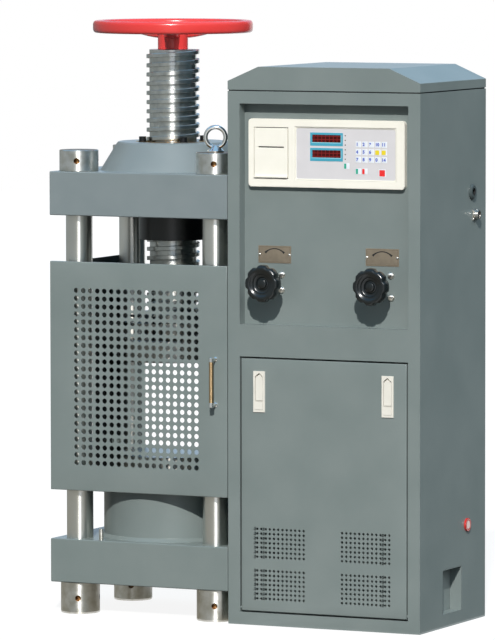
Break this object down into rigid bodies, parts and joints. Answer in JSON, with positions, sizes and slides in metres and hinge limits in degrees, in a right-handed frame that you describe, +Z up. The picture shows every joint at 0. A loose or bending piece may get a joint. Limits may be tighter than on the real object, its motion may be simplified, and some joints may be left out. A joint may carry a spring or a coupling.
{
  "type": "compression testing machine",
  "caption": "Four-column hydraulic compression testing machine with a handwheel load screw, a perforated guard door and a side control cabinet with instrument panel and two valves.",
  "frame": {"origin": "middle of the outside box at floor level", "axes": "+Z up, +X to the machine's right seen from the operator, +Y away from the operator"},
  "size_m": [0.892, 0.393, 1.2895],
  "materials": {
    "grey_paint": "satin",
    "head_paint": "satin",
    "ground_steel": "ground",
    "turned_steel": "turned",
    "screw_steel": "oiled",
    "bronze": "machined",
    "black_oxide": "black oxide",
    "hard_steel": "ground",
    "red_paint": "gloss",
    "bright_chrome": "polished",
    "black_plastic": "gloss",
    "cream_plastic": "satin",
    "panel_film": "matte",
    "cyan_film": "matte",
    "red_window": "gloss",
    "white_key": "matte",
    "white_lock": "satin",
    "label_metal": "anodised",
    "rubber_black": "matte",
    "plug_metal": "satin",
    "sight_plastic": "gloss",
    "paper_white": "matte",
    "motor_paint": "satin",
    "tank_steel": "satin"
  },
  "bodies": {
    "frame": {"base_plate": "grey_paint", "columns": "ground_steel", "upper_column_nuts": "turned_steel", "foot_nuts": "turned_steel", "crosshead": "head_paint", "screw_nut": "bronze", "nut_cap_screws": "black_oxide", "hydraulic_cylinder": "grey_paint", "gland_ring": "turned_steel", "eye_bolt": "bright_chrome", "guard_hinge_pins": "grey_paint", "guard_side_cover": "grey_paint", "cover_clamps": "grey_paint", "door_catch": "black_oxide", "guard_stop_post": "turned_steel", "cabinet_walls": "grey_paint", "cabinet_spacers": "rubber_black", "cabinet_floor": "grey_paint", "cabinet_front": "grey_paint", "control_recess": "grey_paint", "cabinet_lid": "grey_paint", "lid_seal": "rubber_black", "side_pocket": "grey_paint", "instrument_bezel": "cream_plastic", "membrane_panel": "panel_film", "display_frames": "cyan_film", "display_windows": "red_window", "membrane_keys": "white_key", "printer_case": "black_plastic", "valve_block": "turned_steel", "valve_bonnets": "turned_steel", "valve_label_plates": "label_metal", "cable_gland": "rubber_black", "signal_connector": "plug_metal", "sight_glass": "sight_plastic", "oil_tank": "tank_steel", "pump_motor": "motor_paint", "oil_pump": "tank_steel", "pressure_pipe": "turned_steel"},
    "head": {"seat_housing": "hard_steel"},
    "screw": {"load_screw": "screw_steel", "handwheel": "red_paint", "wheel_nut": "black_oxide"},
    "platen": {"upper_platen": "hard_steel", "hanger_studs": "black_oxide"},
    "ram": {"ram": "hard_steel", "lower_platen": "hard_steel"},
    "guard": {"guard_door": "grey_paint", "guard_handle": "bright_chrome"},
    "door": {"service_door": "grey_paint", "lock_housings": "white_lock"},
    "lever_left": {"lock_lever_left": "white_lock"},
    "lever_right": {"lock_lever_right": "white_lock"},
    "button_left": {"lock_button_left": "white_lock"},
    "button_right": {"lock_button_right": "white_lock"},
    "printer_cover": {"printer_cover": "cream_plastic"},
    "paper_roll": {"paper_roll": "paper_white"},
    "knob_left": {"valve_knob_left": "black_plastic"},
    "knob_right": {"valve_knob_right": "black_plastic"},
    "coupling": {"motor_coupling": "black_oxide"}
  },
  "joints": [
    {"name": "screw_lift", "type": "slide", "parent": "frame", "child": "head", "axis": [0, 0, 1], "range_m": [-0.13, 0.14]},
    {"name": "wheel_turn", "type": "hinge", "parent": "head", "child": "screw", "pos_m": [-0.232, 0.0225, 1.275], "axis": [0, 0, 1], "continuous": true},
    {"name": "platen_tilt", "type": "hinge", "parent": "head", "child": "platen", "pos_m": [-0.232, 0.0225, 0.55], "axis": [1, 0, 0], "range_deg": [-3, 3], "stiffness_Nm_per_rad": 120},
    {"name": "ram_stroke", "type": "slide", "parent": "frame", "child": "ram", "axis": [0, 0, 1], "range_m": [0, 0.05]},
    {"name": "guard_swing", "type": "hinge", "parent": "frame", "child": "guard", "pos_m": [-0.4385, -0.1445, 0.52], "axis": [0, 0, -1], "range_deg": [0, 90]},
    {"name": "service_door_tilt", "type": "hinge", "parent": "frame", "child": "door", "pos_m": [0.209, -0.1455, 0.0365], "axis": [1, 0, 0], "range_deg": [0, 40]},
    {"name": "lever_left_pull", "type": "hinge", "parent": "door", "child": "lever_left", "pos_m": [0.0585, -0.1492, 0.535], "axis": [-1, 0, 0], "range_deg": [0, 35]},
    {"name": "button_left_push", "type": "slide", "parent": "door", "child": "button_left", "axis": [0, 1, 0], "range_m": [0, 0.0025], "stiffness_N_per_m": 400},
    {"name": "lever_right_pull", "type": "hinge", "parent": "door", "child": "lever_right", "pos_m": [0.3595, -0.1492, 0.535], "axis": [-1, 0, 0], "range_deg": [0, 35]},
    {"name": "button_right_push", "type": "slide", "parent": "door", "child": "button_right", "axis": [0, 1, 0], "range_m": [0, 0.0025], "stiffness_N_per_m": 400},
    {"name": "printer_cover_lift", "type": "hinge", "parent": "frame", "child": "printer_cover", "pos_m": [0.08, -0.136, 1.064], "axis": [-1, 0, 0], "range_deg": [0, 80]},
    {"name": "paper_roll_turn", "type": "hinge", "parent": "frame", "child": "paper_roll", "pos_m": [0.08, -0.0995, 0.9955], "axis": [1, 0, 0], "continuous": true},
    {"name": "valve_left_turn", "type": "hinge", "parent": "frame", "child": "knob_left", "pos_m": [0.083, -0.18, 0.737], "axis": [0, -1, 0], "range_deg": [0, 300]},
    {"name": "valve_right_turn", "type": "hinge", "parent": "frame", "child": "knob_right", "pos_m": [0.335, -0.18, 0.737], "axis": [0, -1, 0], "range_deg": [0, 300]},
    {"name": "motor_turn", "type": "hinge", "parent": "frame", "child": "coupling", "pos_m": [0.214, 0.0365, 0.302], "axis": [1, 0, 0], "continuous": true}
  ],
  "couplings": [
    {"joint": "wheel_turn", "follows": "screw_lift", "rad_per_m": 314.16}
  ]
}
